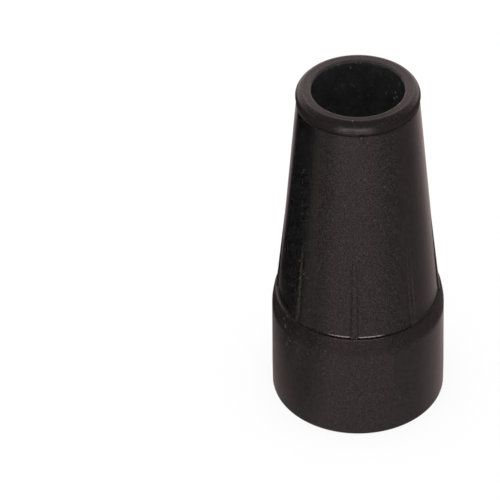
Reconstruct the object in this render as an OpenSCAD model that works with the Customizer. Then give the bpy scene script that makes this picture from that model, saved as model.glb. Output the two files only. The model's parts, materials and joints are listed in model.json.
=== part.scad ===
/* [Cane bore] */
// Diameter of the bore that grips the cane
bore_d = 16; // [12:0.5:19]
// Depth of the bore, from the top of the rim to its floor
bore_depth = 46; // [34:1:50]
// Radius of the corner between the bore wall and its floor
bore_floor_round = 1; // [0.5:0.25:2.5]

/* [Neck and rim] */
// Overall height, from the tread to the top of the rim
total_h = 66; // [60:1:80]
// Wall of the neck, where the cone runs into the rim
neck_wall = 2.55; // [2:0.05:3.5]
// How far the rolled rim stands out past the neck
rim_lip = 0.25; // [0.1:0.05:0.8]
// Radius of the rim's round outer side
rim_round = 1.45; // [1:0.05:1.8]
// Radius on the rim's inner edge, where the cane goes in
rim_inner_round = 0.5; // [0.2:0.1:1]
// Radius of the gate's nub under the rim
nub_r = 0.45; // [0.3:0.05:0.8]

/* [Collar] */
// Diameter of the collar at the ground
base_d = 31.5; // [31:0.5:42]
// Height of the collar, from the ground to its ledge
collar_h = 22; // [14:1:24]
// How far the collar wall leans in over its straight height
collar_draft = 0.33; // [0.1:0.01:0.8]
// Height of the soft band that rounds the collar's top edge
shoulder_h = 3.5; // [1:0.1:4]
// How far the soft band draws in
shoulder_in = 0.37; // [0.2:0.01:0.9]
// Radius on the ledge's outer edge
ledge_round = 0.25; // [0.1:0.05:0.4]
// How far the cone stands back from the ledge's outer edge
ledge_w = 0.6; // [0.4:0.1:1]
// How far the foot of the cone flares out onto the ledge
flare_w = 0.2; // [0.1:0.05:0.3]
// Height of that flare
flare_h = 1.6; // [0.8:0.1:2.4]

/* [Ribs] */
// Number of ribs around the foot of the cone
rib_count = 8; // [4:1:12]
// Height of a rib above the ledge
rib_h = 18; // [8:1:24]
// Width of a rib at the ledge
rib_foot_w = 1.3; // [0.8:0.1:2.4]
// Width of a rib at its upper end
rib_tip_w = 0.7; // [0.4:0.1:1.2]
// How far the foot of a rib stands back from the ledge's outer edge
rib_set_back = 0.25; // [0.2:0.05:0.4]

/* [Tread] */
// Width of the outer ring, which takes the weight
outer_ring_w = 2.5; // [1.8:0.1:3.5]
// Width of the groove inside the outer ring
groove_w = 2.5; // [1.5:0.1:3]
// Width of the middle ring
middle_ring_w = 2.4; // [1.5:0.1:3]
// Width of the dish between the middle ring and the centre ring
dish_w = 3.4; // [2:0.1:3.6]
// Width of the centre ring
centre_ring_w = 1.6; // [1:0.1:1.8]
// How far the inner rings sit back from the ground
ring_set_back = 2; // [0.5:0.1:3]
// Depth of the dish below the faces of the inner rings
dish_depth = 1.5; // [0.5:0.1:3]
// Depth of the groove below the faces of the inner rings
groove_depth = 2.6; // [1:0.1:4]
// Radius on the edges of the rings
edge_round = 0.4; // [0.1:0.05:0.6]

/* [Hidden] */
$fn = 96;
rubber_black = [0.20, 0.18, 0.18];
// how far a rib is rooted in the cone and the collar behind it
root = 1;
// where the nub sits: how far below the top, and how far round from the -Y side
nub_below = 2.7;
nub_turn = 5.9;

bore_r = bore_d / 2;
bore_floor_z = total_h - bore_depth;
neck_r = bore_r + neck_wall;
rim_outer_r = neck_r + rim_lip;
// where the centre of the rim's round outer side lies
rim_centre_r = rim_outer_r - rim_round;
rim_centre_z = total_h - rim_round;

base_r = base_d / 2;
wall_top_r = base_r - collar_draft;
wall_top_z = collar_h - shoulder_h;
ledge_outer_r = wall_top_r - shoulder_in;
cone_foot_r = ledge_outer_r - ledge_w;
// the arc that leaves the wall upright and ends at the ledge
shoulder_round = (shoulder_h ^ 2 + shoulder_in ^ 2) / (2 * shoulder_in);
// the round on the ledge's edge touches that arc from inside, at this height of the band
ledge_rise = shoulder_h - ledge_round;
ledge_centre_r = wall_top_r - shoulder_round + sqrt((shoulder_round - ledge_round) ^ 2 - ledge_rise ^ 2);
touch_h = ledge_rise * shoulder_round / (shoulder_round - ledge_round);

rib_top_z = collar_h + rib_h;

outer_ring_r = base_r - outer_ring_w;
middle_ring_r = outer_ring_r - groove_w;
dish_r = middle_ring_r - middle_ring_w;
centre_ring_r = dish_r - dish_w;
centre_r = centre_ring_r - centre_ring_w;
dish_z = ring_set_back + dish_depth;
groove_z = ring_set_back + groove_depth;

// Radius of the cone at a height above the ledge
function cone_r(z) = cone_foot_r + (neck_r - cone_foot_r) * (z - collar_h) / (rim_centre_z - collar_h);

// Section from face_z up to root_z, with both edges of its lower face rounded
module soft_section(r_in, r_out, face_z, root_z, round_r) {
    translate([r_in + round_r, face_z]) square([r_out - r_in - 2 * round_r, root_z - face_z]);
    translate([r_in, face_z + round_r]) square([r_out - r_in, root_z - face_z - round_r]);
    for (r = [r_in + round_r, r_out - round_r]) {
        translate([r, face_z + round_r]) circle(r = round_r);
    }
}

// The three rings of the tread, and the floor that the inner two stand on
module tread_section() {
    soft_section(outer_ring_r, base_r, 0, groove_z, edge_round);
    soft_section(dish_r, middle_ring_r, ring_set_back, groove_z, edge_round);
    soft_section(centre_r, centre_ring_r, ring_set_back, groove_z, edge_round);
    translate([0, dish_z]) square([dish_r, groove_z - dish_z]);
}

// The collar's drafted wall, with a soft band above it up to the ledge
module collar_section() {
    polygon([[0, groove_z], [base_r, groove_z], [wall_top_r, wall_top_z], [0, wall_top_z]]);
    intersection() {
        translate([wall_top_r - shoulder_round, wall_top_z]) circle(r = shoulder_round);
        translate([0, wall_top_z]) square([wall_top_r, touch_h]);
    }
    translate([0, collar_h - ledge_round]) square([ledge_centre_r, ledge_round]);
    translate([ledge_centre_r, collar_h - ledge_round]) circle(r = ledge_round);
}

// The cone from the ledge to the neck, with its foot flared
module cone_section() {
    polygon([
        [0, collar_h],
        [cone_foot_r + flare_w, collar_h],
        [cone_r(collar_h + flare_h), collar_h + flare_h],
        [neck_r, rim_centre_z],
        [0, rim_centre_z],
    ]);
}

// The rolled rim: round outside, flat on top, and eased where the cane goes in
module rim_section() {
    flat_r = bore_r + rim_inner_round;
    translate([rim_centre_r, rim_centre_z]) circle(r = rim_round);
    translate([flat_r, rim_centre_z]) square([rim_centre_r - flat_r, rim_round]);
    translate([0, rim_centre_z]) square([flat_r, rim_round - rim_inner_round]);
    translate([flat_r, total_h - rim_inner_round]) circle(r = rim_inner_round);
}

// The whole moulding on one side of its axis
module tip_section() {
    difference() {
        union() {
            tread_section();
            collar_section();
            cone_section();
            rim_section();
        }
        soft_section(-bore_r, bore_r, bore_floor_z, total_h + root, bore_floor_round);
    }
}

// A rib seen from the side: proudest at the ledge, and flush with the cone at its top
module rib_side() {
    polygon([
        [cone_foot_r - root, collar_h - root],
        [ledge_outer_r - rib_set_back, collar_h - root],
        [ledge_outer_r - rib_set_back, collar_h],
        [cone_r(rib_top_z), rib_top_z],
        [cone_r(rib_top_z) - root, rib_top_z],
    ]);
}

// A rib seen from the front: it narrows towards its top
module rib_front() {
    polygon([
        [-rib_foot_w / 2, collar_h - root],
        [rib_foot_w / 2, collar_h - root],
        [rib_tip_w / 2, rib_top_z],
        [-rib_tip_w / 2, rib_top_z],
    ]);
}

// One rib on the -Y side, where its two views cross
module rib() {
    intersection() {
        rotate([90, 0, -90]) linear_extrude(rib_foot_w, center = true) rib_side();
        rotate([90, 0, 0]) linear_extrude(base_r) rib_front();
    }
}

// The nub that the gate left on the neck, sunk in it by half
module nub() {
    nub_z = total_h - nub_below;
    rotate([0, 0, nub_turn]) translate([0, -cone_r(nub_z), nub_z]) sphere(r = nub_r);
}

// The whole tip: one rubber moulding
module rubber_tip() {
    color(rubber_black) {
        rotate_extrude() tip_section();
        for (i = [0 : rib_count - 1]) {
            rotate([0, 0, 360 * i / rib_count]) rib();
        }
        nub();
    }
}

rubber_tip();
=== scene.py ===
"""Looks of the rubber cane tip: one black moulding on a plain white floor."""

import json
import math
from collections import namedtuple

import bpy
from mathutils import Matrix, Vector, noise


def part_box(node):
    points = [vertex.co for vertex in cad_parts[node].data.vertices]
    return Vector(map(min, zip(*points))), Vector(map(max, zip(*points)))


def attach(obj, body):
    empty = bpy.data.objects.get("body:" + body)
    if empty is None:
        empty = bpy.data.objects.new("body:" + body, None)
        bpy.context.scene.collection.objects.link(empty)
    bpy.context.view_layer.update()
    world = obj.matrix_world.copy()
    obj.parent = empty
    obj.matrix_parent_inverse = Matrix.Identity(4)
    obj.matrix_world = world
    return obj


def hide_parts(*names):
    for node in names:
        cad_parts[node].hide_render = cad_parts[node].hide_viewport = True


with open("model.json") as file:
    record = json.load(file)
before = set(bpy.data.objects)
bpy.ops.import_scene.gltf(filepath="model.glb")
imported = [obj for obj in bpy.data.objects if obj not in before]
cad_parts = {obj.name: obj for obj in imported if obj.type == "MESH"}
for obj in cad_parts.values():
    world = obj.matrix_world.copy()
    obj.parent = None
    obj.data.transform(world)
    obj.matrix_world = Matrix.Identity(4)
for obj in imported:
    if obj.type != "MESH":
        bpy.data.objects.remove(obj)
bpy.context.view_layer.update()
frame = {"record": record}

MM = 0.001


# ---------------------------------------------------------------- sizes, in millimetres

low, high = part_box("rubber_tip")
TOTAL_H = high.z / MM
BASE_R = min(high.x, -low.x, high.y, -low.y) / MM
BORE_R = next(m for m in frame["record"]["mounts"] if m["name"] == "bore")["dims"]["r_mm"]
BORE_FLOOR_Z = TOTAL_H - 46
BORE_FLOOR_ROUND = 1
# the height of the bore's mouth, where its wall has more points
MOUTH_H = 2

# the neck, and the rolled rim on top of it
NECK_R = BORE_R + 2.55
RIM_R = NECK_R + 0.25
RIM_ROUND = 1.45
RIM_INNER_ROUND = 0.5
RIM_CENTRE_Z = TOTAL_H - RIM_ROUND
RIM_ROLL = (math.radians(-38), math.radians(95))
CREVICE_H = 0.36
CREVICE_DEPTH = 0.12
CREVICE_ROUND = 0.08
# the rim's surface wanders inward by up to this much, but not at the edge of the bore
RIM_WAVE = 0.06
WAVE_LENGTH = 4
WAVE_FROM_R = BORE_R + 0.1

# the nub of the gate under the rim, at an azimuth from -Y towards +X
NUB_R = 0.45
NUB_Z = TOTAL_H - 2.8
NUB_PROUD = 0.5
NUB_AZIMUTH = math.radians(5.9)

# the dent in the bore's edge at the back, at an azimuth from +Y towards +X
DENT_AZIMUTH = math.radians(4.2)
DENT_HALF_W = math.radians(7.5)
DENT_Z = TOTAL_H - 0.55
DENT_HALF_H = 0.45
DENT_DEPTH = 0.1
# a lower power gives the dent a flatter floor and steeper sides
DENT_POWER = 0.6

# the collar: a wall that is upright at first and then leans in a little, a soft band above
# it and a narrow ledge
STRAIGHT_Z = 4.6
WALL_ROUND = 20
COLLAR_H = 22
BAND_Z = 18.5
BAND_TILT = math.radians(10.5)
BAND_ROUND = 11
LEDGE_R = BASE_R - 0.67
LEDGE_EDGE_ROUND = 0.25
# the cone flares a little above the ledge, by way of a wide round, and runs into it by a
# narrow slope that is rounded above and below
CONE_FOOT_R = BASE_R - 1.3
FLARE = math.radians(9.5)
FLARE_H = 1.6
FLARE_ROUND = 14
SLOPE = math.radians(21)
SLOPE_H = 0.28
SLOPE_ROUND = 0.3
LEDGE_FILLET = 0.1

# the ribs around the foot of the cone
RIB_COUNT = 8
RIB_H = 18
RIB_TOP_Z = COLLAR_H + RIB_H
RIB_FOOT_W = 1.3
RIB_TIP_W = 0.7
RIB_SIDE_W = 0.16
RIB_SET_BACK = 0.28
# a rib is a little rounded across its crest, by this share of how proud it is
RIB_CROWN = 0.35
# it stands in a faint groove: the depth on its left and on its right, each with the share of
# the rib's height that it runs. The ribs in sight differ a little.
RIB_GROOVE_W = 0.3
PLAIN_GROOVES = ((0.04, 0.9), (0.04, 0.9))
RIB_GROOVES = {
    0: ((0.1, 0.97), (0.06, 0.6)),
    1: ((0.06, 0.9), (0.17, 0.9)),
    7: ((0.03, 0.9), (0.05, 0.9)),
}
GROOVE_RUNOUT = 0.15
# the left one of the ribs in sight stands a little further round than its even place
RIB_TURNS = {7: math.radians(-2)}

# the tread: an outer ring, a groove, and two rings set back around a dish
OUTER_RING_R = BASE_R - 2.5
MIDDLE_RING_R = OUTER_RING_R - 2.5
DISH_R = MIDDLE_RING_R - 2.4
CENTRE_RING_R = DISH_R - 3.4
CENTRE_R = CENTRE_RING_R - 1.6
RING_SET_BACK = 2
DISH_Z = RING_SET_BACK + 1.5
GROOVE_Z = RING_SET_BACK + 2.6
EDGE_ROUND = 0.4
GROOVE_FILLET = 0.35


# ---------------------------------------------------------------- the moulding

# One corner of the section: its radius from the axis, its height, the radius that rounds
# it, how far apart the points are on the straight run that follows it, and how many degrees
# of its round they are apart.
Corner = namedtuple("Corner", "r z round step arc", defaults=(0, 1.5, 11))
# a turn of fewer radians than this isn't rounded
LEAST_TURN = 0.001
# the length of the short piece at either end of a straight run
RUN_END = 0.04

# One column of the mesh beside a rib, in shares. The first four say how far out it stands:
# on the rib's half width, on its side, in its groove and in the field beside it. The others
# are how far it is raised towards the rib's crest and how deep it lies in the groove.
Column = namedtuple("Column", "crest side groove field proud deep", defaults=[0] * 6)


def cone_r(z):
    """Radius of the cone at a height above the ledge."""
    share = (z - COLLAR_H) / (RIM_CENTRE_Z - COLLAR_H)
    return CONE_FOOT_R + (NECK_R - CONE_FOOT_R) * share


def tread_corner(r, z, round_r):
    """A corner under the tread, which has fewer points."""
    return Corner(r, z, round_r, step=1, arc=22)


def tread_corners():
    """From the axis outward under the tread, to the foot of the collar."""
    corners = [Corner(0, DISH_Z)]
    inner_rings = ((CENTRE_R, CENTRE_RING_R, DISH_Z), (DISH_R, MIDDLE_RING_R, GROOVE_Z))
    for inner, outer, beyond_z in inner_rings:
        corners += [
            tread_corner(inner, DISH_Z, GROOVE_FILLET),
            tread_corner(inner, RING_SET_BACK, EDGE_ROUND),
            tread_corner(outer, RING_SET_BACK, EDGE_ROUND),
            tread_corner(outer, beyond_z, GROOVE_FILLET),
        ]
    return corners + [
        tread_corner(OUTER_RING_R, GROOVE_Z, GROOVE_FILLET),
        tread_corner(OUTER_RING_R, 0, EDGE_ROUND),
        Corner(BASE_R, 0, EDGE_ROUND),
    ]


def collar_corners():
    """Up the collar's wall, round the soft band, over the ledge and onto the cone."""
    # the band bends away from the wall at this height, by way of its round
    bend_z = BAND_Z + BAND_ROUND * math.tan(BAND_TILT / 2)
    bend_r = LEDGE_R + (COLLAR_H - bend_z) * math.tan(BAND_TILT)
    flare_z = COLLAR_H + FLARE_H
    slope_r = cone_r(flare_z) + (FLARE_H - SLOPE_H) * math.tan(FLARE)
    return [
        Corner(BASE_R, STRAIGHT_Z, WALL_ROUND),
        Corner(bend_r, bend_z, BAND_ROUND),
        Corner(LEDGE_R, COLLAR_H, LEDGE_EDGE_ROUND, step=0.1),
        Corner(slope_r + SLOPE_H * math.tan(SLOPE), COLLAR_H, LEDGE_FILLET, step=0.1),
        Corner(slope_r, COLLAR_H + SLOPE_H, SLOPE_ROUND, step=0.3),
        Corner(cone_r(flare_z), flare_z, FLARE_ROUND, step=1.2),
        # above the ribs the cone is plain
        Corner(cone_r(RIB_TOP_Z), RIB_TOP_Z, step=3),
    ]


def rim_corners():
    """From the neck over the crevice, round the rolled rim and down into the bore."""
    start, end = RIM_ROLL
    centre_r = RIM_R - RIM_ROUND
    start_r = centre_r + RIM_ROUND * math.cos(start)
    start_z = RIM_CENTRE_Z + RIM_ROUND * math.sin(start)
    # the crevice's floor lies on the tangent at the roll's start, and its lip on the cone
    floor_z = start_z + CREVICE_DEPTH / math.tan(start)
    floor_r = start_r - CREVICE_DEPTH
    lip_z = start_z - CREVICE_H
    corners = [
        Corner(cone_r(lip_z), lip_z, CREVICE_ROUND, step=0.1),
        Corner(floor_r, floor_z, CREVICE_ROUND, step=0.1),
    ]
    # past its top the roll runs straight, and falls a little, to the edge of the bore
    fall = math.tan(end - math.pi / 2)
    top_r = centre_r + RIM_ROUND * math.cos(end)
    top_z = RIM_CENTRE_Z + RIM_ROUND * math.sin(end)
    lip_edge_z = top_z - (top_r - BORE_R) * fall
    # two corners of the polygon drawn about the round give it back when they are rounded
    half = (end - start) / 4
    for angle in (start + half, end - half):
        reach = RIM_ROUND / math.cos(half)
        corner_r = centre_r + reach * math.cos(angle)
        corner_z = RIM_CENTRE_Z + reach * math.sin(angle)
        corners.append(Corner(corner_r, corner_z, RIM_ROUND, step=0.3))
    return corners + [
        Corner(BORE_R, lip_edge_z, RIM_INNER_ROUND, step=0.2),
        Corner(BORE_R, TOTAL_H - MOUTH_H, step=6),
        Corner(BORE_R, BORE_FLOOR_Z, BORE_FLOOR_ROUND, step=3),
        Corner(0, BORE_FLOOR_Z),
    ]


def rounded_path(corners):
    """The corners joined by straight runs, with an arc at each one that has a radius."""
    path = [Vector((corners[0].r, corners[0].z))]
    step = corners[0].step
    for before, corner, after in zip(corners, corners[1:], corners[2:]):
        here = Vector((corner.r, corner.z))
        back = (Vector((before.r, before.z)) - here).normalized()
        ahead = (Vector((after.r, after.z)) - here).normalized()
        turn = math.pi - back.angle(ahead)
        reach = corner.round * math.tan(turn / 2)
        add_run(path, here + back * reach, step)
        if corner.round and turn > LEAST_TURN:
            sense = math.copysign(turn, back.x * ahead.y - back.y * ahead.x)
            middle = here + (back + ahead).normalized() * (corner.round / math.cos(turn / 2))
            spoke = here + back * reach - middle
            pieces = max(2, round(math.degrees(turn) / corner.arc))
            for i in range(1, pieces + 1):
                path.append(middle + Matrix.Rotation(-sense * i / pieces, 2) @ spoke)
        step = corner.step
    add_run(path, Vector((corners[-1].r, corners[-1].z)), step)
    return path


def add_run(path, end, step):
    """Goes straight on from the path's last point to end, in steps of at most that length.
    A short piece at either end keeps the smooth shading of the rounds off the run."""
    start = path[-1]
    length = (end - start).length
    if length < 1e-6:
        return
    if length > 3 * RUN_END:
        along = (end - start).normalized() * RUN_END
        path.append(start + along)
        pieces = math.ceil((length - 2 * RUN_END) / step)
        for i in range(1, pieces + 1):
            path.append((start + along).lerp(end - along, i / pieces))
    path.append(end)


def clamp(t):
    """t, held between 0 and 1."""
    return min(max(t, 0), 1)


def smooth(t):
    """Runs from 0 to 1 with t, levelling out at both ends."""
    return t * t * (3 - 2 * t)


def half_sector():
    """The columns from the middle of a rib to the middle of the field beside it."""
    crest, side, groove, field = 4, 6, 4, 11
    columns = []
    for i in range(crest + 1):
        t = i / crest
        columns.append(Column(t, proud=1 - RIB_CROWN * t**2))
    for i in range(1, side + 1):
        t = i / side
        columns.append(Column(1, t, proud=(1 - RIB_CROWN) * (1 - smooth(t)), deep=smooth(t)))
    for i in range(1, groove + 1):
        t = i / groove
        columns.append(Column(1, 1, t, deep=1 - smooth(t)))
    # the field's columns lie closer together beside the rib
    for i in range(1, field + 1):
        t = i / field
        columns.append(Column(1, 1, 1, t * (0.6 + 0.4 * t)))
    return columns


def around_rib(half):
    """A list for half a sector, mirrored for the rib's left, and as it is for its right."""
    return half[:0:-1], half[:-1]


def ring_angles(columns, radius, rib_w):
    """The azimuth of every column at one height, all the way round from -Y."""
    sector = math.tau / RIB_COUNT
    side = RIB_SIDE_W / radius
    groove = RIB_GROOVE_W / radius
    crest = rib_w / 2 / radius - side / 2
    angles = []
    for rib in range(RIB_COUNT):
        turn = RIB_TURNS.get(rib, 0)
        middle = sector * rib - math.pi / 2 + turn
        for sign, part in zip((-1, 1), around_rib(columns)):
            field = sector / 2 - sign * turn - crest - side - groove
            for c in part:
                offset = crest * c.crest + side * c.side + groove * c.groove + field * c.field
                angles.append(middle + sign * offset)
    return angles


def worn(point, angle):
    """A point of the section, with the rim's waviness and the dent in the bore's edge."""
    radius, z = point
    crown = clamp((z - RIM_CENTRE_Z + RIM_ROUND / 2) / RIM_ROUND)
    if crown > 0 and radius > WAVE_FROM_R:
        around = Vector((math.cos(angle), math.sin(angle), 0)) * radius / WAVE_LENGTH
        wander = 0.5 + 0.5 * noise.noise(around + Vector((0, 0, z / WAVE_LENGTH)))
        outward = (radius - BORE_R) / (RIM_R - BORE_R)
        radius -= RIM_WAVE * crown * clamp(wander) * outward
    across = (math.pi / 2 - DENT_AZIMUTH - angle + math.pi) % math.tau - math.pi
    off = (across / DENT_HALF_W) ** 2 + ((z - DENT_Z) / DENT_HALF_H) ** 2
    if off < 1 and radius < BORE_R + RIM_INNER_ROUND:
        radius += DENT_DEPTH * (1 - off) ** DENT_POWER
    return radius, z


def rib_crests(path):
    """Beside every point of the section, the place of a rib's crest, and the share of the
    rib's height that lies below it. Off the ribs the crest is the point itself."""
    # the crest runs straight from just inside the ledge's edge to where it meets the cone
    foot = Vector((LEDGE_R - RIB_SET_BACK, COLLAR_H))
    top = Vector((cone_r(RIB_TOP_Z), RIB_TOP_Z))
    # the ribs' first ring lies on the ledge, give or take what a coordinate is rounded by
    first = next(i for i, p in enumerate(path) if p.y > COLLAR_H - 0.001)
    last = next(i for i, p in enumerate(path) if p.y > RIB_TOP_Z)
    lengths = [0]
    for i in range(first, last):
        lengths.append(lengths[-1] + (path[i + 1] - path[i]).length)
    crests = []
    for i, point in enumerate(path):
        crest = point
        if first <= i < last:
            crest = foot.lerp(top, lengths[i - first] / lengths[-1])
        crests.append((crest, clamp((point.y - COLLAR_H) / RIB_H) if i < last else 1))
    return crests


def ring_depths(columns, rise):
    """How deep every column lies in the groove of its rib, at a share of the rib's height."""
    shares = [c.deep for c in columns]
    depths = []
    for rib in range(RIB_COUNT):
        grooves = RIB_GROOVES.get(rib, PLAIN_GROOVES)
        for (depth, reach), part in zip(grooves, around_rib(shares)):
            # a groove runs out at its reach
            deep = depth * smooth(clamp((reach - rise) / GROOVE_RUNOUT)) if rise > 0 else 0
            depths += [share * deep for share in part]
    return depths


def revolve(path, columns):
    """The vertices of every ring of the section, with the ribs raised out of the cone's foot."""
    left, right = around_rib([c.proud for c in columns])
    shares = (left + right) * RIB_COUNT
    verts = []
    for point, (crest, rise) in list(zip(path, rib_crests(path)))[1:-1]:
        rib_w = RIB_FOOT_W + (RIB_TIP_W - RIB_FOOT_W) * rise
        radius = LEDGE_R + (cone_r(RIB_TOP_Z) - LEDGE_R) * rise
        angles = ring_angles(columns, radius, rib_w)
        for angle, share, depth in zip(angles, shares, ring_depths(columns, rise)):
            r, z = worn(point.lerp(crest, share), angle)
            r -= depth
            verts.append((r * math.cos(angle) * MM, r * math.sin(angle) * MM, z * MM))
    return verts


def add_mesh(name, verts, faces):
    """A mesh object in the scene."""
    mesh = bpy.data.meshes.new(name)
    mesh.from_pydata(verts, [], faces)
    thing = bpy.data.objects.new(name, mesh)
    bpy.context.scene.collection.objects.link(thing)
    return thing


def add_nub(verts, faces):
    """A low dome on the neck, sunk in it by half."""
    around, up = 20, 10
    first = len(verts)
    out = Vector((math.sin(NUB_AZIMUTH), -math.cos(NUB_AZIMUTH), 0))
    above = Vector((0, 0, 1))
    aside = above.cross(out)
    middle = out * cone_r(NUB_Z) + above * NUB_Z
    for i in range(1, up):
        tilt = math.pi * i / up
        level = math.sin(tilt) * NUB_R
        for j in range(around):
            turn = math.tau * j / around
            spot = middle + out * math.cos(tilt) * NUB_R * NUB_PROUD
            spot += aside * math.cos(turn) * level + above * math.sin(turn) * level
            verts.append(tuple(spot * MM))
    for i in range(up - 2):
        for j in range(around):
            a = first + i * around + j
            b = first + i * around + (j + 1) % around
            faces.append((a, a + around, b + around, b))
    faces.append(tuple(first + j for j in range(around)))
    faces.append(tuple(first + (up - 2) * around + j for j in reversed(range(around))))


def build_moulding():
    """The whole tip as one closed mesh, with the nub on its neck."""
    path = rounded_path(tread_corners() + collar_corners() + rim_corners())
    columns = half_sector()
    verts = [(0, 0, path[0].y * MM)] + revolve(path, columns) + [(0, 0, path[-1].y * MM)]
    rings = len(path) - 2
    count = (len(verts) - 2) // rings
    faces = []
    for j in range(count):
        faces.append((0, 1 + (j + 1) % count, 1 + j))
    for i in range(rings - 1):
        start = 1 + i * count
        for j in range(count):
            k = (j + 1) % count
            faces.append((start + j, start + k, start + count + k, start + count + j))
    start = 1 + (rings - 1) * count
    for j in range(count):
        faces.append((start + j, start + (j + 1) % count, len(verts) - 1))
    add_nub(verts, faces)

    tip = add_mesh("tip_moulding", verts, faces)
    tip.data.validate()
    tip.data.shade_smooth()
    return tip


# ---------------------------------------------------------------- nodes


def new_material(name):
    """An empty node material: (material, its nodes, its links)."""
    material = bpy.data.materials.new(name)
    material.use_nodes = True
    tree = material.node_tree
    tree.nodes.clear()
    return material, tree.nodes, tree.links


def grey(level):
    """A neutral colour."""
    return (level, level, level, 1)


class Graph:
    """Short ways to add the nodes of one material."""

    def __init__(self, name):
        self.material, self.nodes, self.links = new_material(name)
        where = self.nodes.new("ShaderNodeTexCoord").outputs["Object"]
        scale = self.nodes.new("ShaderNodeVectorMath")
        scale.operation = "SCALE"
        scale.inputs["Scale"].default_value = 1 / MM
        self.links.new(where, scale.inputs[0])
        # the place on the object in millimetres
        self.place = scale.outputs["Vector"]

    def feed(self, socket, value):
        """Links a socket or sets a plain value."""
        if isinstance(value, bpy.types.NodeSocket):
            self.links.new(value, socket)
        else:
            socket.default_value = value

    def math(self, operation, a, b=0.0):
        """One of the operations of a math node."""
        node = self.nodes.new("ShaderNodeMath")
        node.operation = operation
        self.feed(node.inputs[0], a)
        self.feed(node.inputs[1], b)
        return node.outputs[0]

    def plus(self, a, b):
        return self.math("ADD", a, b)

    def minus(self, a, b):
        return self.math("SUBTRACT", a, b)

    def times(self, *factors):
        """The product of all the factors."""
        product = factors[0]
        for factor in factors[1:]:
            product = self.math("MULTIPLY", product, factor)
        return product

    def ramp(self, value, start, end, low=0.0, high=1.0):
        """Runs smoothly from low to high while value runs from start to end."""
        node = self.nodes.new("ShaderNodeMapRange")
        node.interpolation_type = "SMOOTHSTEP"
        numbers = (value, start, end, low, high)
        for name, number in zip(("Value", "From Min", "From Max", "To Min", "To Max"), numbers):
            self.feed(node.inputs[name], number)
        return node.outputs["Result"]

    def fade(self, value, start, end):
        """Runs smoothly from 1 to 0 while value runs from start to end."""
        return self.ramp(value, start, end, 1.0, 0.0)

    def window(self, value, start, end, soft):
        """1 between start and end, and 0 a soft distance outside them."""
        return self.times(self.ramp(value, start - soft, start), self.fade(value, end, end + soft))

    def noise(self, size, detail, roughness=0.5):
        """Noise whose lumps are about size millimetres across."""
        node = self.nodes.new("ShaderNodeTexNoise")
        node.inputs["Scale"].default_value = 1 / size
        node.inputs["Detail"].default_value = detail
        node.inputs["Roughness"].default_value = roughness
        self.links.new(self.place, node.inputs["Vector"])
        return node.outputs["Fac"]

    def specks(self, size, share, softness):
        """Small round specks: of the cells, size millimetres wide, a share holds one each."""
        node = self.nodes.new("ShaderNodeTexVoronoi")
        node.inputs["Scale"].default_value = 1 / size
        self.links.new(self.place, node.inputs["Vector"])
        chosen = self.nodes.new("ShaderNodeSeparateColor")
        self.links.new(node.outputs["Color"], chosen.inputs[0])
        lot = chosen.outputs[0]
        reach = self.ramp(lot, 1 - share, 1.0, 0.0, WIDEST_SPECK)
        near = self.fade(node.outputs["Distance"], reach, self.plus(reach, softness))
        return self.times(near, self.math("GREATER_THAN", lot, 1 - share))

    def near(self, place, reach):
        """1 near a place, and 0 beyond reach millimetres from it."""
        away = self.nodes.new("ShaderNodeVectorMath")
        away.operation = "DISTANCE"
        self.links.new(self.place, away.inputs[0])
        away.inputs[1].default_value = place
        return self.fade(away.outputs["Value"], reach * FLECK_CORE, reach)

    def blend(self, share, a, b):
        """Colour a turning into colour b."""
        node = self.nodes.new("ShaderNodeMix")
        node.data_type = "RGBA"
        self.feed(node.inputs[0], share)
        self.feed(node.inputs[6], a)
        self.feed(node.inputs[7], b)
        return node.outputs[2]

    def lay(self, colour, share, level):
        """A colour with a share of a grey laid over it."""
        return self.blend(share, colour, grey(level))

    def bump(self, height, depth, normal=None):
        """Relief of height 0 to 1, depth millimetres deep."""
        node = self.nodes.new("ShaderNodeBump")
        node.inputs["Distance"].default_value = depth * MM
        self.links.new(height, node.inputs["Height"])
        if normal:
            self.links.new(normal, node.inputs["Normal"])
        return node.outputs["Normal"]


# ---------------------------------------------------------------- the rubber's looks

# Where the rubber looks different. The band is the collar's soft one, the bead is the rim's
# rolled side and the crown is its top. Each soft edge is (start, end) in millimetres: along
# the height, along the radius from the axis, or along X or Y.
BAND_FOOT_Z = (BAND_Z - 1, BAND_Z + 1)
BAND_TOP_Z = (COLLAR_H + 0.005, COLLAR_H + 0.03)
BAND_SIDES_Y = (-14, -8)
# at the left the inner line of the ledge stays bright
BRIGHT_LEDGE_X = (-4, -6)
BRIGHT_LEDGE_R = (LEDGE_R - 0.2, LEDGE_R - 0.15)
IN_BORE_R = (BORE_R + 0.15, BORE_R + 0.6)
IN_BORE_Z = (BORE_FLOOR_Z - 1, BORE_FLOOR_Z)
# the bore's dust, partly painted light that lifts its shade, thins out between these heights
BORE_DUST_AND_LIGHT_Z = (TOTAL_H - 20, TOTAL_H - 2)
TREAD_Z = (GROOVE_Z - 0.2, GROOVE_Z + 0.2)
TREAD_R = (OUTER_RING_R + 0.2, OUTER_RING_R)
CROWN_Z = (TOTAL_H - 0.7, TOTAL_H - 0.3)
CROWN_R = (BORE_R + 0.3, BORE_R + 0.8)
# the front of the rim's top, which carries painted shade
CROWN_FRONT_Y = (-3, -9)
BEAD_R = (RIM_R - 1.2, RIM_R - 0.8)
BEAD_FRONT_Y = (-10, -10.6)
NECK_RIGHT_R = (NECK_R - 0.15, NECK_R - 0.05)
NECK_RIGHT_X = (3, 5)
CONE_LEFT_X = (-7.6, -9)
BAND_LEFT_X = (-5, -11)
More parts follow.
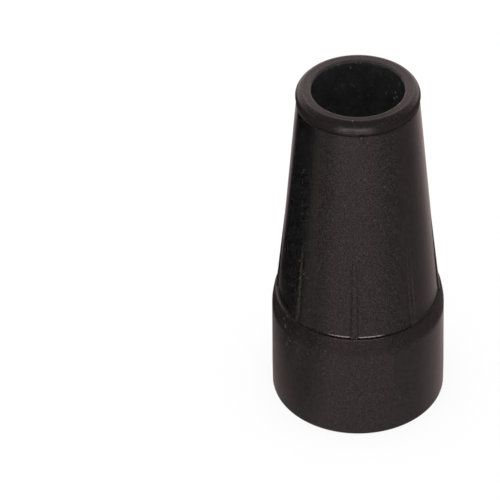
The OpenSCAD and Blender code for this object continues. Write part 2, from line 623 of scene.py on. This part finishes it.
# each of these is (start, end, how soft both edges are) along the height
BEAD_Z = (RIM_CENTRE_Z - 1.05, RIM_CENTRE_Z + 0.6, 0.3)
# where the bead's front is scuffed and laid lighter as a painted highlight
BEAD_SCUFF_AND_HIGHLIGHT_Z = (RIM_CENTRE_Z - 0.35, RIM_CENTRE_Z + 0.25, 0.25)
BEAD_PATCH_Z = (RIM_CENTRE_Z - 0.95, RIM_CENTRE_Z + 0.35, 0.1)
NECK_RIGHT_Z = (TOTAL_H - 2.7, TOTAL_H - 2.2, 0.1)
CONE_LEFT_Z = (COLLAR_H + 2, TOTAL_H - 5, 1.5)
BAND_LEFT_Z = (BAND_Z - 2.5, COLLAR_H - 0.4, 1)
SLOPE_Z = (COLLAR_H, COLLAR_H + SLOPE_H, 0.05)

# noises: the size of the lumps in millimetres, the detail and the roughness
GRAIN = (0.21, 2, 0.6)
MOTTLE = (0.9, 4, 0.65)
DUST = (2.2, 5, 0.7)
CLOUD = (5, 3)
PATCHES = (1.3, 3)
HAIRS = (2, 2)
# a hair is as wide as the noise takes to change by this much
HAIR_W = 0.012

# tones: the dark and the light of the rubber's grain, what lies on it, and painted light and shade
GRAIN_TONES = (0.0002, 0.0122)
# the bead's sides, all round but at the front, are laid darker
BEAD_SIDES_DARK_TONE = 0.0006
# the bore's dust is partly painted light, lifting the shade deep in the bore
BORE_DUST_AND_LIGHT_TONE = 0.085
TREAD_DUST_TONE = 0.03
# the scuffs on the bead's front are also a painted highlight
SCUFF_AND_HIGHLIGHT_TONE = 0.04
# painted shade: the front of the rim's top is laid darker
CROWN_FRONT_SHADE_TONE = 0.0004
CROWN_BACK_TONE = 0.02
HAIR_TONE = 0.12
# how far the band's grain leans to the dark
BAND_DARKER = 0.055

# light specks, all over or by the zone that they lie in: the size of a cell in millimetres,
# the share of the cells that hold one, how soft its edge is, and its tone
SPECKS = {
    "small": (0.9, 0.12, 0.14, 0.024),
    "large": (1.7, 0.12, 0.08, 0.028),
    "in_bore": (0.6, 0.35, 0.1, 0.1),
    "band_left": (0.6, 0.6, 0.2, 0.06),
    "cone_left": (0.7, 0.6, 0.2, 0.048),
    "neck_right": (0.45, 0.45, 0.25, 0.05),
}
# how wide a speck's core grows at most, as a share of its cell
WIDEST_SPECK = 0.08

# single light flecks: where each lies in millimetres, its reach and its tone
FLECKS = (
    ((6.3, 4.9, 61.6), 0.35, 0.16),
    ((6.6, 4.5, 60.9), 0.3, 0.2),
    ((6.1, 5.2, 60.2), 0.3, 0.2),
    ((6.7, 4.4, 59.4), 0.25, 0.16),
    ((-12.85, -5.55, 27.4), 0.22, 0.06),
    ((-12.75, -5.8, 27), 0.18, 0.06),
    ((-12.98, -8.17, 20.65), 0.25, 0.03),
    ((-12.2, -8.87, 21.8), 0.25, 0.035),
    ((-12.58, -8.94, 19.85), 0.28, 0.035),
    ((-12.59, -9.06, 19.4), 0.3, 0.045),
    ((-12.02, -9.88, 17.6), 0.25, 0.03),
    ((-11.84, -10.11, 17.2), 0.28, 0.035),
    ((-12.44, -9.4, 15.57), 0.3, 0.04),
    ((-0.5, -9.5, 65.95), 0.22, 0.07),
    ((-0.6, -8, 65.2), 0.3, 0.12),
)
# how far a fleck's core goes, as a share of its reach
FLECK_CORE = 0.4

# roughness: the satin rubber's own, how much duller each zone is, and how much the narrow
# slope is polished
SATIN = 0.2
DULLER = {"in_bore": 0.15, "bead": 0.16, "bead_sides": 0.38, "band_sides": 0.45}
PATCH_DULLER = 0.3
POLISH = 0.12
SPECULAR = 0.31

# relief in millimetres
GRAIN_RELIEF = 0.011
MOTTLE_RELIEF = 0.004


def rubber_zones(g):
    """Masks of the zones in which the rubber looks different, by their names."""
    parts = g.nodes.new("ShaderNodeSeparateXYZ")
    g.links.new(g.place, parts.inputs[0])
    x, y, z = (parts.outputs[axis] for axis in "XYZ")
    radius = g.math("SQRT", g.plus(g.times(x, x), g.times(y, y)))

    band = g.times(g.ramp(z, *BAND_FOOT_Z), g.fade(z, *BAND_TOP_Z))
    bright = g.times(g.ramp(x, *BRIGHT_LEDGE_X), g.fade(radius, *BRIGHT_LEDGE_R))
    band = g.times(band, g.minus(1.0, bright))
    bead = g.times(g.window(z, *BEAD_Z), g.ramp(radius, *BEAD_R))
    bead_front = g.ramp(y, *BEAD_FRONT_Y)
    crown = g.times(g.ramp(z, *CROWN_Z), g.ramp(radius, *CROWN_R))
    # the front of the rim's top, where painted shade lies
    crown_front = g.ramp(y, *CROWN_FRONT_Y)
    neck_right = g.times(g.window(z, *NECK_RIGHT_Z), g.ramp(x, *NECK_RIGHT_X))
    return {
        "band": band,
        "band_sides": g.times(band, g.ramp(y, *BAND_SIDES_Y)),
        "band_left": g.times(g.window(z, *BAND_LEFT_Z), g.ramp(x, *BAND_LEFT_X)),
        "in_bore": g.times(g.fade(radius, *IN_BORE_R), g.ramp(z, *IN_BORE_Z)),
        # the dust in the bore, partly painted light that lifts the bore's shade, thins towards the
        # mouth
        "bore_dust_and_light": g.ramp(z, *BORE_DUST_AND_LIGHT_Z, 1.0, 0.25),
        "tread": g.times(g.fade(z, *TREAD_Z), g.ramp(radius, *TREAD_R)),
        "bead": bead,
        "bead_sides": g.times(bead, g.minus(1.0, bead_front)),
        "bead_scuff_and_highlight": g.times(g.window(z, *BEAD_SCUFF_AND_HIGHLIGHT_Z), bead_front),
        "bead_patch": g.times(g.window(z, *BEAD_PATCH_Z), bead_front),
        "crown_front": g.times(crown, crown_front),
        "crown_back": g.times(crown, g.minus(1.0, crown_front)),
        "cone_left": g.times(g.window(z, *CONE_LEFT_Z), g.ramp(x, *CONE_LEFT_X)),
        "neck_right": g.times(neck_right, g.ramp(radius, *NECK_RIGHT_R)),
        "slope": g.window(z, *SLOPE_Z),
    }


def add_specks(g, colour, share, kind):
    """A colour with one kind of specks laid over it."""
    *cells, level = SPECKS[kind]
    return g.lay(colour, g.times(g.specks(*cells), share), level)


def hairs(g):
    """Thin lines along the middle contours of a slow noise."""
    return g.fade(g.math("ABSOLUTE", g.minus(g.noise(*HAIRS), 0.5)), 0.0, HAIR_W)


def rubber_colour(g, zones, grain, mottle):
    """A grainy black, with greyer dust under the tread, greyer dust in the bore that is partly
    painted light, scuffs on the rim's front that are partly a painted highlight, painted shade on
    the front of the rim's top, darker sides to the bead, and hairs, specks and flecks."""
    tone = g.plus(g.times(grain, 0.9), g.times(mottle, 0.1))
    tone = g.minus(tone, g.times(zones["band"], BAND_DARKER))
    dark, light = GRAIN_TONES
    colour = g.blend(g.ramp(tone, 0.43, 0.59), grey(dark), grey(light))

    dust = g.noise(*DUST)
    # greyer dust in the bore, and painted light that lifts the bore's shade, most of it deep down
    bore_dust_and_light = g.times(zones["in_bore"], g.ramp(dust, 0.35, 0.65, 0.45, 0.85), zones["bore_dust_and_light"])
    tread_dust = g.times(zones["tread"], g.ramp(dust, 0.4, 0.75, 0.1, 0.7))
    # scuffs on the bead's front, laid lighter as a painted highlight where the front lamp's
    # highlight falls
    scuff_and_highlight = g.times(zones["bead_scuff_and_highlight"], g.ramp(grain, 0.42, 0.6, 0.05, 0.55))
    crown_grain = g.times(zones["crown_back"], g.ramp(grain, 0.46, 0.6))
    # the bead's sides, all round but at the front, are laid darker
    colour = g.lay(colour, g.times(zones["bead_sides"], 0.8), BEAD_SIDES_DARK_TONE)
    colour = g.lay(colour, bore_dust_and_light, BORE_DUST_AND_LIGHT_TONE)
    colour = g.lay(colour, tread_dust, TREAD_DUST_TONE)
    colour = g.lay(colour, scuff_and_highlight, SCUFF_AND_HIGHLIGHT_TONE)
    # painted shade on the front of the rim's top
    colour = g.lay(colour, g.times(zones["crown_front"], 0.6), CROWN_FRONT_SHADE_TONE)
    colour = g.lay(colour, crown_grain, CROWN_BACK_TONE)

    for kind in ("small", "large"):
        colour = add_specks(g, colour, 1.0, kind)
    # the hairs in the bore come and go with the mottling
    bore_hairs = g.times(hairs(g), zones["in_bore"], g.ramp(mottle, 0.5, 0.57))
    colour = g.lay(colour, bore_hairs, HAIR_TONE)
    for kind in ("in_bore", "band_left", "cone_left", "neck_right"):
        colour = add_specks(g, colour, zones[kind], kind)
    for place, reach, level in FLECKS:
        colour = g.lay(colour, g.near(place, reach), level)
    return colour


def rubber_roughness(g, zones, mottle):
    """Satin, duller in some zones and in patches of the bead's front, and with the narrow
    slope above the ledge polished."""
    rough = g.plus(SATIN, g.ramp(g.noise(*CLOUD), 0.3, 0.7, -0.02, 0.03))
    rough = g.plus(rough, g.ramp(mottle, 0.3, 0.75, -0.01, 0.02))
    for zone, more in DULLER.items():
        rough = g.plus(rough, g.times(zones[zone], more))
    patches = g.times(zones["bead_patch"], g.ramp(g.noise(*PATCHES), 0.45, 0.58))
    rough = g.plus(rough, g.times(patches, PATCH_DULLER))
    return g.minus(rough, g.times(zones["slope"], POLISH))


def rubber():
    """Satin black rubber, as moulded: duller on the soft band, with dust inside the bore that is
    partly painted light, and a painted highlight and painted shade on the rim's front.
    """
    g = Graph("black_rubber")
    zones = rubber_zones(g)
    grain = g.noise(*GRAIN)
    mottle = g.noise(*MOTTLE)
    relief = g.bump(mottle, MOTTLE_RELIEF, g.bump(grain, GRAIN_RELIEF))

    shader = g.nodes.new("ShaderNodeBsdfPrincipled")
    out = g.nodes.new("ShaderNodeOutputMaterial")
    g.links.new(shader.outputs["BSDF"], out.inputs["Surface"])
    g.links.new(rubber_colour(g, zones, grain, mottle), shader.inputs["Base Color"])
    g.links.new(rubber_roughness(g, zones, mottle), shader.inputs["Roughness"])
    g.links.new(relief, shader.inputs["Normal"])
    shader.inputs["Specular IOR Level"].default_value = SPECULAR
    return g.material


# ---------------------------------------------------------------- the stage's looks

# the tone of the stage's paper, and the share of its white that glows
STAGE_TONE = 0.92
STAGE_GLOW = 0.85


def white_stage():
    """White to the eye and in reflections, with a part of it lit so that it keeps a shadow."""
    material, nodes, links = new_material("white_stage")
    out = nodes.new("ShaderNodeOutputMaterial")
    paper = nodes.new("ShaderNodeBsdfDiffuse")
    paper.inputs["Color"].default_value = grey(STAGE_TONE)
    glow = nodes.new("ShaderNodeEmission")
    glow.inputs["Color"].default_value = grey(1)
    light_path = nodes.new("ShaderNodeLightPath")
    seen = light_path.outputs["Is Camera Ray"]
    for ray in ("Is Glossy Ray", "Is Transmission Ray"):
        either = nodes.new("ShaderNodeMath")
        either.operation = "MAXIMUM"
        links.new(seen, either.inputs[0])
        links.new(light_path.outputs[ray], either.inputs[1])
        seen = either.outputs[0]
    share = nodes.new("ShaderNodeMath")
    share.operation = "MULTIPLY"
    share.inputs[1].default_value = STAGE_GLOW
    links.new(seen, share.inputs[0])
    mix = nodes.new("ShaderNodeMixShader")
    links.new(share.outputs[0], mix.inputs["Fac"])
    links.new(paper.outputs["BSDF"], mix.inputs[1])
    links.new(glow.outputs["Emission"], mix.inputs[2])
    links.new(mix.outputs["Shader"], out.inputs["Surface"])
    return material


def card():
    """A card whose tone is written on its mesh and is the same however it is lit."""
    material, nodes, links = new_material("card")
    out = nodes.new("ShaderNodeOutputMaterial")
    tone = nodes.new("ShaderNodeAttribute")
    tone.attribute_name = "tone"
    glow = nodes.new("ShaderNodeEmission")
    links.new(tone.outputs["Color"], glow.inputs["Color"])
    links.new(glow.outputs["Emission"], out.inputs["Surface"])
    return material


# ---------------------------------------------------------------- studio, in metres

CAMERA_AZIMUTH = math.radians(2.4)
CAMERA_ELEVATION = math.radians(38.8)
CAMERA_DISTANCE = 0.53
CAMERA_LENS = 214
CAMERA_CLIP = (0.01, 20)
# the point of the axis that the camera is measured from, and where it lands in the
# photograph's frame of 500 x 500, from the middle of the frame: right, up
TARGET = Vector((0, 0, 0.0331))
FRAME_PX = 500
TARGET_PX = (107.9, 12.4)

# what lies round the object on the floor, as it shows in reflections. Each row is an azimuth
# in degrees, from the camera's side towards +X, and the tone at each reach from the axis.
# Where the tones fall lower close to the axis, they are the object's own shadow on the floor,
# painted into the card.
FLOOR_REACH = (0.0159, 0.024, 0.045, 0.07, 0.16, 0.32, 0.9)
FLOOR_TONES = (
    (-180, 0.36, 0.44, 0.45, 0.50, 0.50, 0.50, 0.50),
    (-160, 0.38, 0.45, 0.45, 0.50, 0.50, 0.50, 0.50),
    (-150, 0.40, 0.43, 0.36, 0.44, 0.48, 0.48, 0.48),
    (-142, 0.37, 0.36, 0.12, 0.32, 0.45, 0.45, 0.45),
    (-138, 0.33, 0.29, 0.02, 0.00, 0.00, 0.08, 0.35),
    (-120, 0.28, 0.23, 0.00, 0.00, 0.00, 0.05, 0.25),
    (-100, 0.26, 0.21, 0.00, 0.00, 0.00, 0.08, 0.35),
    (-79, 0.26, 0.21, 0.02, 0.00, 0.00, 0.10, 0.40),
    (-77, 0.26, 0.21, 0.05, 0.12, 0.38, 0.40, 0.40),
    (-72, 0.27, 0.22, 0.25, 0.33, 0.39, 0.40, 0.40),
    (-68, 0.28, 0.23, 0.30, 0.37, 0.39, 0.39, 0.39),
    (-58, 0.29, 0.24, 0.31, 0.37, 0.38, 0.38, 0.38),
    (-50, 0.31, 0.27, 0.35, 0.40, 0.40, 0.40, 0.40),
    (-42, 0.35, 0.37, 0.50, 0.56, 0.56, 0.56, 0.56),
    (-34, 0.48, 0.54, 0.70, 0.78, 0.81, 1.00, 0.90),
    (-28, 0.62, 0.67, 0.75, 0.78, 0.90, 1.20, 1.00),
    (-15, 0.67, 0.71, 0.78, 0.80, 0.92, 1.50, 1.20),
    (0, 0.67, 0.71, 0.75, 0.79, 0.90, 1.50, 1.20),
    (15, 0.62, 0.68, 0.74, 0.77, 0.85, 1.50, 1.20),
    (30, 0.52, 0.59, 0.67, 0.70, 0.72, 1.10, 0.95),
    (40, 0.37, 0.45, 0.50, 0.50, 0.50, 0.50, 0.50),
    (50, 0.35, 0.38, 0.44, 0.44, 0.44, 0.44, 0.44),
    (60, 0.38, 0.36, 0.37, 0.38, 0.38, 0.38, 0.38),
    (75, 0.39, 0.38, 0.33, 0.32, 0.32, 0.32, 0.32),
    (90, 0.36, 0.38, 0.31, 0.27, 0.27, 0.27, 0.27),
    (108, 0.32, 0.39, 0.36, 0.32, 0.32, 0.32, 0.32),
    (120, 0.40, 0.46, 0.41, 0.41, 0.41, 0.41, 0.41),
    (134, 0.46, 0.51, 0.47, 0.54, 0.54, 0.54, 0.54),
    (150, 0.46, 0.52, 0.53, 0.64, 0.64, 0.60, 0.56),
    (180, 0.36, 0.44, 0.45, 0.50, 0.50, 0.50, 0.50),
)
FLOOR_CARD_Z = 0.0001
# how far the stage's floor lies under the object
FLOOR_GAP = 0.02 * MM

# what stands round it, at the floor card's edge: rows as above, with the tone at each height
WALL_HEIGHTS = (0.0005, 0.3, 0.55, 0.72, 0.9, 1.3)
WALL_TONES = (
    (-180, 1.40, 0.80, 0.35, 1.00, 1.32, 1.27),
    (-175, 1.40, 0.90, 0.60, 1.55, 1.42, 1.15),
    (-170, 1.40, 0.98, 0.90, 2.20, 1.52, 1.00),
    (-163, 1.40, 1.10, 1.05, 2.20, 1.45, 0.90),
    (-150, 1.45, 1.40, 1.40, 1.20, 0.85, 0.55),
    (-130, 1.30, 1.20, 0.90, 0.65, 0.60, 0.50),
    (-110, 0.60, 0.60, 0.50, 0.50, 0.50, 0.50),
    (-90, 0.35, 0.35, 0.35, 0.40, 0.50, 0.50),
    (-65, 0.30, 0.30, 0.30, 0.35, 0.50, 0.50),
    (-45, 0.35, 0.35, 0.40, 0.45, 0.50, 0.50),
    (-22, 0.45, 0.45, 0.50, 0.50, 0.50, 0.50),
    (0, 0.45, 0.45, 0.50, 0.50, 0.50, 0.50),
    (22, 0.45, 0.45, 0.50, 0.50, 0.50, 0.50),
    (45, 0.35, 0.35, 0.40, 0.45, 0.50, 0.50),
    (65, 0.30, 0.30, 0.30, 0.35, 0.50, 0.50),
    (90, 0.35, 0.35, 0.35, 0.40, 0.50, 0.50),
    (110, 0.60, 0.60, 0.50, 0.50, 0.50, 0.50),
    (130, 1.30, 1.20, 0.90, 0.65, 0.60, 0.50),
    (150, 1.45, 1.40, 1.40, 1.20, 0.85, 0.55),
    (163, 1.40, 1.10, 1.05, 2.20, 1.50, 0.90),
    (170, 1.40, 0.98, 0.90, 2.20, 1.56, 1.00),
    (175, 1.40, 0.90, 0.60, 1.55, 1.44, 1.15),
    (180, 1.40, 0.80, 0.35, 1.00, 1.32, 1.27),
)
# the reflected light is warm
WARMTH = (1.20, 0.95, 0.93)

# a long low lamp in front of the object, which faces it
LAMP_ELEVATION = math.radians(2)
LAMP_DISTANCE = 0.74
LAMP_W = 0.98
LAMP_H = 0.087
# how bright the lamp's face is
LAMP_RADIANCE = 11

# the room all round: its tone in reflections, and its tone where it only fills shadows
ROOM_TONE = 0.5
FILL_TONE = 1.25


def toward_camera(azimuth, elevation):
    """A unit vector from the object: azimuth 0 is -Y, and it turns towards +X."""
    level = math.cos(elevation)
    return Vector((math.sin(azimuth) * level, -math.cos(azimuth) * level, math.sin(elevation)))


def add_camera():
    """The camera at the photograph's angle, turned so that the object lies right of centre."""
    data = bpy.data.cameras.new("camera")
    data.lens = CAMERA_LENS
    data.clip_start, data.clip_end = CAMERA_CLIP
    camera = bpy.data.objects.new("camera", data)
    bpy.context.scene.collection.objects.link(camera)
    back = toward_camera(CAMERA_AZIMUTH, CAMERA_ELEVATION)
    focal_px = FRAME_PX * CAMERA_LENS / data.sensor_width
    seen_at = Vector((*TARGET_PX, -focal_px))
    aside = seen_at.rotation_difference(Vector((0, 0, -1)))
    camera.rotation_mode = "QUATERNION"
    camera.rotation_quaternion = (-back).to_track_quat("-Z", "Y") @ aside
    camera.location = TARGET + back * CAMERA_DISTANCE
    bpy.context.scene.camera = camera


def add_stage():
    """A white floor that runs up into a white wall behind the object."""
    half, wall_y, wall_h, bend, pieces = 2.0, 1.6, 2.0, 0.5, 12
    section = [(-half, 0)]
    for i in range(pieces + 1):
        turn = math.radians(90) * i / pieces
        section.append((wall_y - bend + bend * math.sin(turn), bend - bend * math.cos(turn)))
    section.append((wall_y, wall_h))
    verts = [(x, y, z - FLOOR_GAP) for y, z in section for x in (-half, half)]
    faces = [(2 * i, 2 * i + 1, 2 * i + 3, 2 * i + 2) for i in range(len(section) - 1)]
    floor = add_mesh("floor", verts, faces)
    floor.data.shade_smooth()
    floor.data.materials.append(white_stage())


def add_card(name, places, rows):
    """A card round the object, seen only in its reflections. places are (reach, height)
    and every row is an azimuth in degrees with the tone at each place."""
    verts, tones = [], []
    for azimuth, *row in rows:
        out = toward_camera(math.radians(azimuth) + CAMERA_AZIMUTH, 0)
        for (reach, height), tone in zip(places, row):
            verts.append((out.x * reach, out.y * reach, height))
            tones.append(tone)
    per_row = len(places)
    faces = []
    for i in range(len(rows) - 1):
        for j in range(per_row - 1):
            a = i * per_row + j
            faces.append((a, a + 1, a + per_row + 1, a + per_row))
    stands = add_mesh(name, verts, faces)
    shade = stands.data.attributes.new("tone", "FLOAT_COLOR", "POINT")
    for spot, tone in zip(shade.data, tones):
        spot.color = [tone * share for share in WARMTH] + [1]
    stands.data.materials.append(card())
    stands.visible_camera = False
    stands.visible_diffuse = False
    stands.visible_shadow = False
    stands.visible_transmission = False


def add_lamp():
    """The soft rectangular lamp, which faces the object."""
    data = bpy.data.lights.new("lamp_front", "AREA")
    data.shape = "RECTANGLE"
    data.size = LAMP_W
    data.size_y = LAMP_H
    data.energy = LAMP_RADIANCE * math.pi * LAMP_W * LAMP_H
    data.color = WARMTH
    lamp = bpy.data.objects.new("lamp_front", data)
    bpy.context.scene.collection.objects.link(lamp)
    out = toward_camera(0, LAMP_ELEVATION)
    lamp.location = TARGET + out * LAMP_DISTANCE
    lamp.rotation_mode = "QUATERNION"
    lamp.rotation_quaternion = (-out).to_track_quat("-Z", "Y")
    lamp.visible_camera = False


def add_world():
    """White to the camera, bright enough to fill the shadows, and dim in reflections."""
    world = bpy.data.worlds.new("studio")
    bpy.context.scene.world = world
    world.use_nodes = True
    nodes, links = world.node_tree.nodes, world.node_tree.links
    nodes.clear()
    light_path = nodes.new("ShaderNodeLightPath")
    tone = nodes.new("ShaderNodeBackground").outputs["Background"]
    tone.node.inputs["Color"].default_value = [ROOM_TONE * share for share in WARMTH] + [1]
    for ray, level in (("Is Diffuse Ray", FILL_TONE), ("Is Camera Ray", 1)):
        other = nodes.new("ShaderNodeBackground")
        other.inputs["Color"].default_value = grey(level)
        mix = nodes.new("ShaderNodeMixShader")
        links.new(light_path.outputs[ray], mix.inputs["Fac"])
        links.new(tone, mix.inputs[1])
        links.new(other.outputs["Background"], mix.inputs[2])
        tone = mix.outputs["Shader"]
    out = nodes.new("ShaderNodeOutputWorld")
    links.new(tone, out.inputs["Surface"])


# ---------------------------------------------------------------- the scene

tip = build_moulding()
tip.data.materials.append(rubber())
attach(tip, "root")
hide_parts("rubber_tip")

add_stage()
add_card("floor_card", [(reach, FLOOR_CARD_Z) for reach in FLOOR_REACH], FLOOR_TONES)
add_card("wall_card", [(FLOOR_REACH[-1], height) for height in WALL_HEIGHTS], WALL_TONES)
add_lamp()
add_world()
add_camera()

bpy.context.scene.view_settings.view_transform = "Standard"
